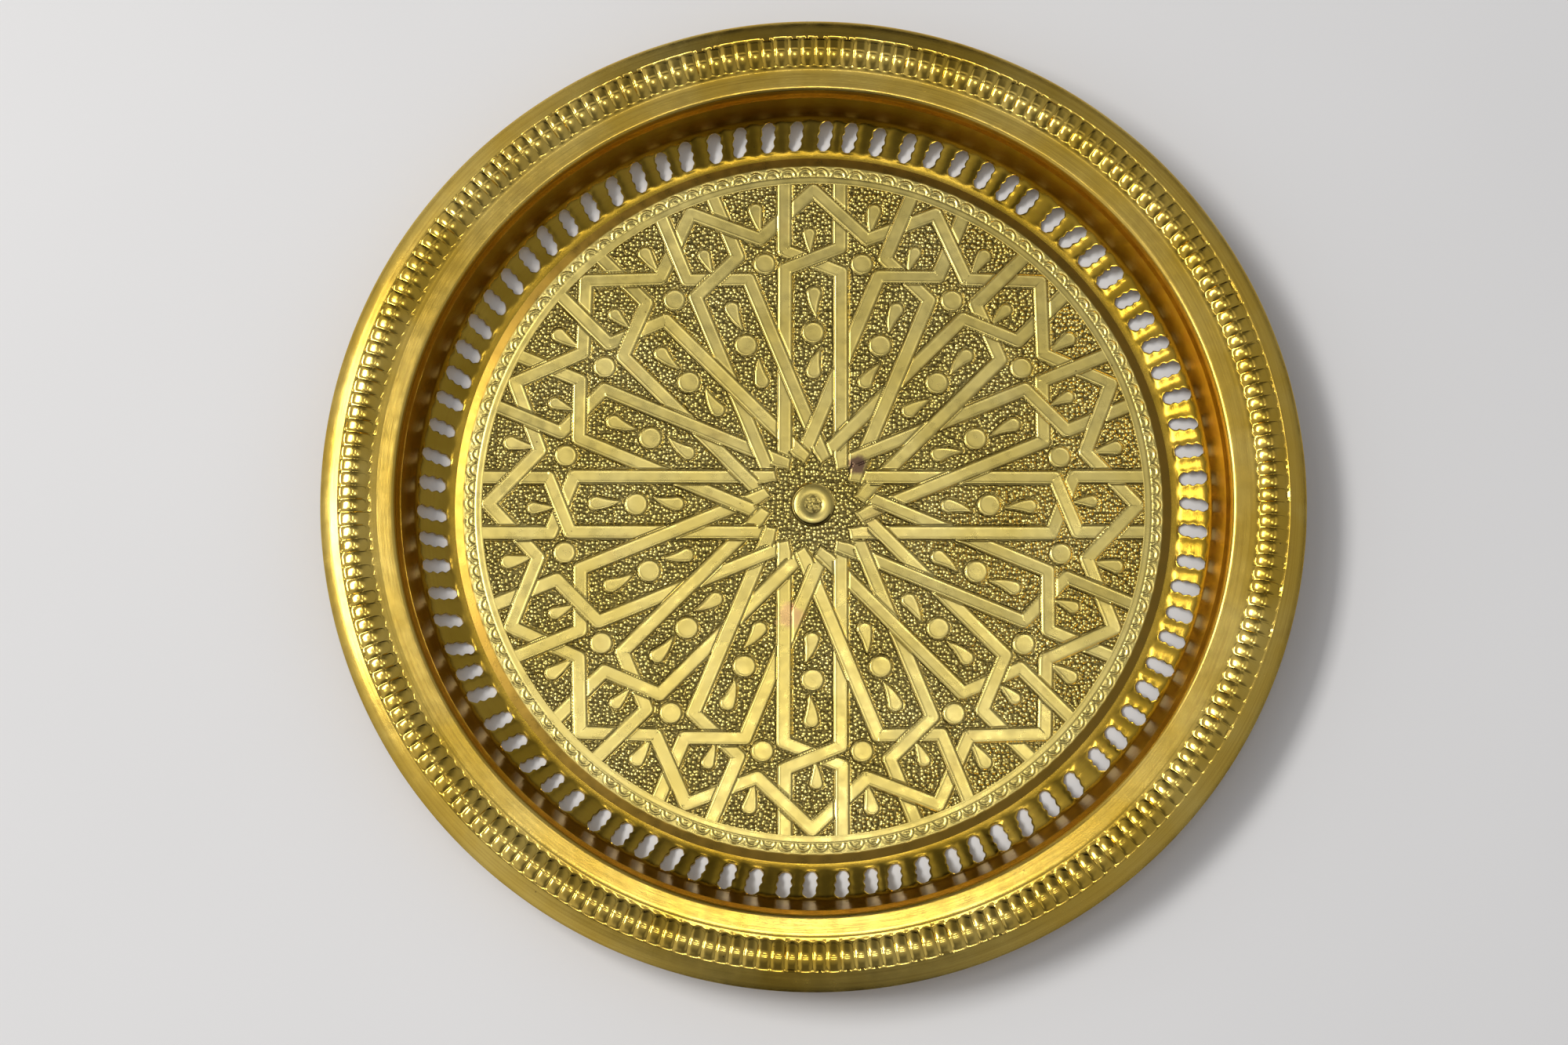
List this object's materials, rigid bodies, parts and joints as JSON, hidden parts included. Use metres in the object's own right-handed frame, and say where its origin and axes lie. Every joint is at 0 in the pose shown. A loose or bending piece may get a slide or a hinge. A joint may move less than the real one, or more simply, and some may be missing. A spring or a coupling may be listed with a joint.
{
  "type": "galleried tray",
  "caption": "Round brass serving tray with a chased flat floor, a pierced gallery wall, a fluted rim moulding and a rolled hem.",
  "frame": {"origin": "centre of the circle that the foot rests on, at the height of the surface the tray stands on", "axes": "+Z is the tray's axis, pointing up out of the well; X and Y are any two directions across it, with a slot on +X"},
  "size_m": [0.31, 0.31, 0.0224],
  "materials": {
    "chased_brass": "polished yellow brass, chased and stippled, with dark tarnish left in the punched ground",
    "gallery_brass": "polished brass with a brown tone in the corners, rough punched slot edges",
    "rim_brass": "circular brushed on the flat ring and the lip, polished on the fluted moulding",
    "wire": "plain drawn steel wire, hidden in the hem",
    "solder": "dull grey tin solder"
  },
  "bodies": {
    "root": {"floor_plate": "chased_brass", "gallery_band": "gallery_brass", "rim_flange": "rim_brass", "edge_wire": "wire", "collar_solder": "solder", "floor_solder": "solder"}
  },
  "joints": []
}
